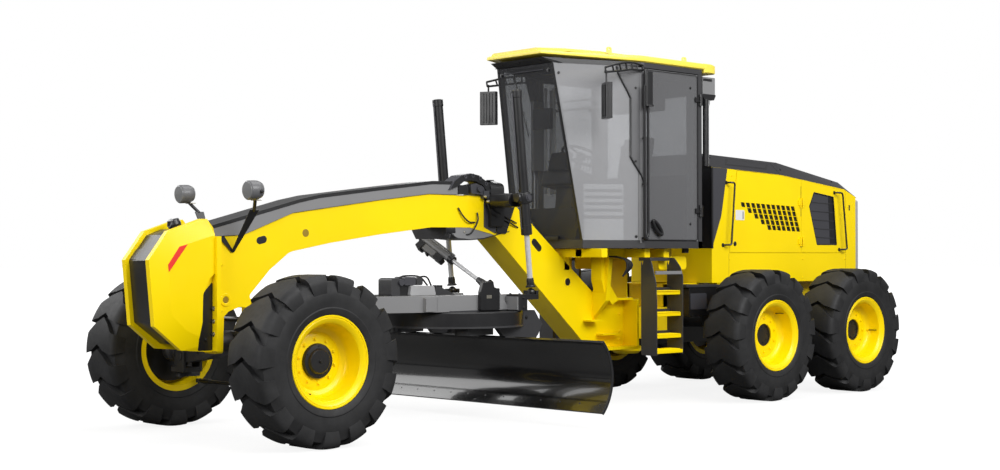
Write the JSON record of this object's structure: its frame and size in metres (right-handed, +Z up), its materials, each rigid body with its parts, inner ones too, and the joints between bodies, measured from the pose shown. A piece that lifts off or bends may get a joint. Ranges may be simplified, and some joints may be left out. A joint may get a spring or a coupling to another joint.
{
  "type": "articulated motor grader",
  "caption": "Articulated motor grader with a cab, tandem drive wheels, leaning front wheels, and a blade on a turning circle under the arched frame.",
  "frame": {"origin": "centre of the footprint on the ground, midway between the nose and the rear of the hood", "axes": "+Z up, +Y towards the rear of the machine, +X to the machine's left"},
  "size_m": [3.6622, 8.827, 3.3653],
  "materials": {
    "yellow_paint": "glossy paint, clean",
    "grey_paint": "semi-gloss dark grey paint",
    "black_paint": "semi-gloss black paint",
    "blade_steel": "dark polished blade",
    "axle_casting": "painted casting",
    "piston_rod": "polished",
    "tyre_rubber": "matt, deep lugs",
    "cab_glass": "tinted",
    "trim_plastic": "fine grain",
    "seat_cloth": "woven cloth over foam"
  },
  "bodies": {
    "rear_chassis": {"rear_frame": "yellow_paint", "rear_axle": "axle_casting", "tandem_case_left": "black_paint", "tandem_case_right": "black_paint", "engine_block": "axle_casting", "hood_shell": "yellow_paint", "hood_cover": "grey_paint", "fuel_tank": "black_paint"},
    "front_chassis": {"front_frame": "yellow_paint", "beam_cover": "grey_paint", "nose_weight": "yellow_paint", "front_axle": "axle_casting", "saddle": "black_paint", "cab_frame": "grey_paint", "cab_roof": "yellow_paint", "front_glass": "cab_glass", "rear_glass": "cab_glass", "ladder_left": "yellow_paint", "ladder_right": "yellow_paint", "seat": "seat_cloth", "console": "trim_plastic"},
    "lean_bracket_left": {"lean_bracket_left": "grey_paint"},
    "lean_bracket_right": {"lean_bracket_right": "grey_paint"},
    "knuckle_left": {"knuckle_left": "axle_casting"},
    "knuckle_right": {"knuckle_right": "axle_casting"},
    "lean_bar": {"lean_bar": "grey_paint"},
    "tie_rod_end": {"tie_rod_end": "grey_paint"},
    "tie_rod": {"tie_rod": "grey_paint"},
    "drawbar_ball": {"drawbar_ball": "grey_paint"},
    "drawbar": {"drawbar": "grey_paint"},
    "circle": {"circle": "grey_paint"},
    "blade_carrier": {"blade_carrier": "grey_paint"},
    "moldboard": {"moldboard": "blade_steel"},
    "lift_tube_left": {"lift_tube_left": "black_paint"},
    "lift_tube_right": {"lift_tube_right": "black_paint"},
    "lift_rod_left": {"lift_rod_left": "piston_rod"},
    "lift_rod_right": {"lift_rod_right": "piston_rod"},
    "shift_yoke": {"shift_yoke": "black_paint"},
    "shift_tube": {"shift_tube": "black_paint"},
    "shift_rod": {"shift_rod": "piston_rod"},
    "cab_door_left": {"cab_door_left": "cab_glass"},
    "cab_door_right": {"cab_door_right": "cab_glass"},
    "hood_door_front_left": {"hood_door_front_left": "yellow_paint"},
    "hood_door_front_right": {"hood_door_front_right": "yellow_paint"},
    "hood_door_rear_left": {"hood_door_rear_left": "yellow_paint"},
    "hood_door_rear_right": {"hood_door_rear_right": "yellow_paint"},
    "wheel_front_left": {"tyre_front_left": "tyre_rubber", "rim_front_left": "yellow_paint"},
    "wheel_middle_left": {"tyre_middle_left": "tyre_rubber", "rim_middle_left": "yellow_paint"},
    "wheel_rear_left": {"tyre_rear_left": "tyre_rubber", "rim_rear_left": "yellow_paint"},
    "wheel_front_right": {"tyre_front_right": "tyre_rubber", "rim_front_right": "yellow_paint"},
    "wheel_middle_right": {"tyre_middle_right": "tyre_rubber", "rim_middle_right": "yellow_paint"},
    "wheel_rear_right": {"tyre_rear_right": "tyre_rubber", "rim_rear_right": "yellow_paint"}
  },
  "joints": [
    {"name": "articulation", "type": "hinge", "parent": "rear_chassis", "child": "front_chassis", "pos_m": [0, 1.1285, 0.76], "axis": [0, 0, 1], "range_deg": [-25, 25]},
    {"name": "wheel_lean", "type": "hinge", "parent": "front_chassis", "child": "lean_bracket_left", "pos_m": [0.7, -3.5115, 0.6], "axis": [0, 1, 0], "range_deg": [-18, 18]},
    {"name": "wheel_lean_right", "type": "hinge", "parent": "front_chassis", "child": "lean_bracket_right", "pos_m": [-0.7, -3.5115, 0.6], "axis": [0, 1, 0], "range_deg": [-18, 18]},
    {"name": "lean_bar_pivot", "type": "hinge", "parent": "lean_bracket_left", "child": "lean_bar", "pos_m": [0.7, -3.5115, 0.93], "axis": [0, 1, 0], "range_deg": [-18, 18]},
    {"name": "steer", "type": "hinge", "parent": "lean_bracket_left", "child": "knuckle_left", "pos_m": [0.83, -3.5115, 0.65], "axis": [0, 0, 1], "range_deg": [-45, 45]},
    {"name": "steer_right", "type": "hinge", "parent": "lean_bracket_right", "child": "knuckle_right", "pos_m": [-0.83, -3.5115, 0.65], "axis": [0, 0, 1], "range_deg": [-45, 45]},
    {"name": "tie_rod_turn", "type": "hinge", "parent": "knuckle_left", "child": "tie_rod_end", "pos_m": [0.83, -3.3415, 0.44], "axis": [0, 0, 1], "range_deg": [-45, 45]},
    {"name": "tie_rod_tilt", "type": "hinge", "parent": "tie_rod_end", "child": "tie_rod", "pos_m": [0.83, -3.3415, 0.38], "axis": [0, 1, 0], "range_deg": [-18, 18]},
    {"name": "spin_front_left", "type": "hinge", "parent": "knuckle_left", "child": "wheel_front_left", "pos_m": [1.0775, -3.5115, 0.65], "axis": [1, 0, 0], "continuous": true},
    {"name": "spin_middle_left", "type": "hinge", "parent": "rear_chassis", "child": "wheel_middle_left", "pos_m": [1.0775, 1.9195, 0.65], "axis": [1, 0, 0], "continuous": true},
    {"name": "spin_rear_left", "type": "hinge", "parent": "rear_chassis", "child": "wheel_rear_left", "pos_m": [1.0775, 3.4575, 0.65], "axis": [1, 0, 0], "continuous": true},
    {"name": "spin_front_right", "type": "hinge", "parent": "knuckle_right", "child": "wheel_front_right", "pos_m": [-1.0775, -3.5115, 0.65], "axis": [1, 0, 0], "continuous": true},
    {"name": "spin_middle_right", "type": "hinge", "parent": "rear_chassis", "child": "wheel_middle_right", "pos_m": [-1.0775, 1.9195, 0.65], "axis": [1, 0, 0], "continuous": true},
    {"name": "spin_rear_right", "type": "hinge", "parent": "rear_chassis", "child": "wheel_rear_right", "pos_m": [-1.0775, 3.4575, 0.65], "axis": [1, 0, 0], "continuous": true},
    {"name": "drawbar_swing", "type": "hinge", "parent": "front_chassis", "child": "drawbar_ball", "pos_m": [0, -3.2115, 0.88], "axis": [0, 0, -1], "range_deg": [-7, 7]},
    {"name": "drawbar_pitch", "type": "hinge", "parent": "drawbar_ball", "child": "drawbar", "pos_m": [0, -3.2115, 0.88], "axis": [1, 0, 0], "range_deg": [-12, 9]},
    {"name": "circle_turn", "type": "hinge", "parent": "drawbar", "child": "circle", "pos_m": [0, -1.2115, 0.88], "axis": [0, 0, 1], "range_deg": [-50, 50]},
    {"name": "blade_tilt", "type": "hinge", "parent": "circle", "child": "blade_carrier", "pos_m": [-0.0115, -1.0118, 0.33], "axis": [0.9983, 0.0576, 0], "range_deg": [-5, 40]},
    {"name": "blade_shift", "type": "slide", "parent": "blade_carrier", "child": "moldboard", "axis": [0.9983, 0.0576, 0], "range_m": [-0.5, 0.5]},
    {"name": "lift_swing_left", "type": "hinge", "parent": "front_chassis", "child": "lift_tube_left", "pos_m": [0.54, -0.8206, 1.96], "axis": [0, -1, 0], "range_deg": [-19, 19]},
    {"name": "lift_stroke_left", "type": "slide", "parent": "lift_tube_left", "child": "lift_rod_left", "axis": [0, 0.1019, -0.9948], "range_m": [-0.4, 0.53]},
    {"name": "lift_swing_right", "type": "hinge", "parent": "front_chassis", "child": "lift_tube_right", "pos_m": [-0.54, -0.8206, 1.96], "axis": [0, -1, 0], "range_deg": [-19, 19]},
    {"name": "lift_stroke_right", "type": "slide", "parent": "lift_tube_right", "child": "lift_rod_right", "axis": [0, 0.1019, -0.9948], "range_m": [-0.4, 0.53]},
    {"name": "shift_swing", "type": "hinge", "parent": "front_chassis", "child": "shift_yoke", "pos_m": [-0.6, -1.1115, 1.64], "axis": [0, -1, 0], "range_deg": [-6, 6]},
    {"name": "shift_tilt", "type": "hinge", "parent": "shift_yoke", "child": "shift_tube", "pos_m": [-0.6, -1.1115, 1.64], "axis": [0, 1, 0], "range_deg": [-21, 28]},
    {"name": "shift_stroke", "type": "slide", "parent": "shift_tube", "child": "shift_rod", "axis": [0.8664, 0.1083, -0.4874], "range_m": [-0.216, 0.216]},
    {"name": "cab_door_swing_left", "type": "hinge", "parent": "front_chassis", "child": "cab_door_left", "pos_m": [0.735, 1.4235, 2.4], "axis": [0, 0, 1], "range_deg": [0, 85]},
    {"name": "hood_door_front_swing_left", "type": "hinge", "parent": "rear_chassis", "child": "hood_door_front_left", "pos_m": [0.563, 3.3135, 1.8], "axis": [0, 0, 1], "range_deg": [0, 80]},
    {"name": "hood_door_rear_swing_left", "type": "hinge", "parent": "rear_chassis", "child": "hood_door_rear_left", "pos_m": [0.563, 3.3535, 1.8], "axis": [0, 0, -1], "range_deg": [0, 80]},
    {"name": "cab_door_swing_right", "type": "hinge", "parent": "front_chassis", "child": "cab_door_right", "pos_m": [-0.735, 1.4235, 2.4], "axis": [0, 0, -1], "range_deg": [0, 85]},
    {"name": "hood_door_front_swing_right", "type": "hinge", "parent": "rear_chassis", "child": "hood_door_front_right", "pos_m": [-0.563, 3.3135, 1.8], "axis": [0, 0, -1], "range_deg": [0, 80]},
    {"name": "hood_door_rear_swing_right", "type": "hinge", "parent": "rear_chassis", "child": "hood_door_rear_right", "pos_m": [-0.563, 3.3535, 1.8], "axis": [0, 0, 1], "range_deg": [0, 80]}
  ],
  "couplings": [
    {"joint": "wheel_lean_right", "follows": "wheel_lean", "ratio": 1},
    {"joint": "lean_bar_pivot", "follows": "wheel_lean", "ratio": -1},
    {"joint": "steer_right", "follows": "steer", "ratio": 1},
    {"joint": "tie_rod_turn", "follows": "steer", "ratio": -1},
    {"joint": "tie_rod_tilt", "follows": "wheel_lean", "ratio": -0.843},
    {"joint": "lift_swing_left", "follows": "drawbar_swing", "ratio": 2.6},
    {"joint": "lift_stroke_left", "follows": "drawbar_pitch", "m_per_rad": -2.48},
    {"joint": "lift_swing_right", "follows": "drawbar_swing", "ratio": 2.6},
    {"joint": "lift_stroke_right", "follows": "drawbar_pitch", "m_per_rad": -2.48},
    {"joint": "shift_swing", "follows": "drawbar_swing", "ratio": 0.8},
    {"joint": "shift_tilt", "follows": "drawbar_pitch", "ratio": -2.3},
    {"joint": "shift_stroke", "follows": "drawbar_swing", "m_per_rad": 1.766}
  ]
}
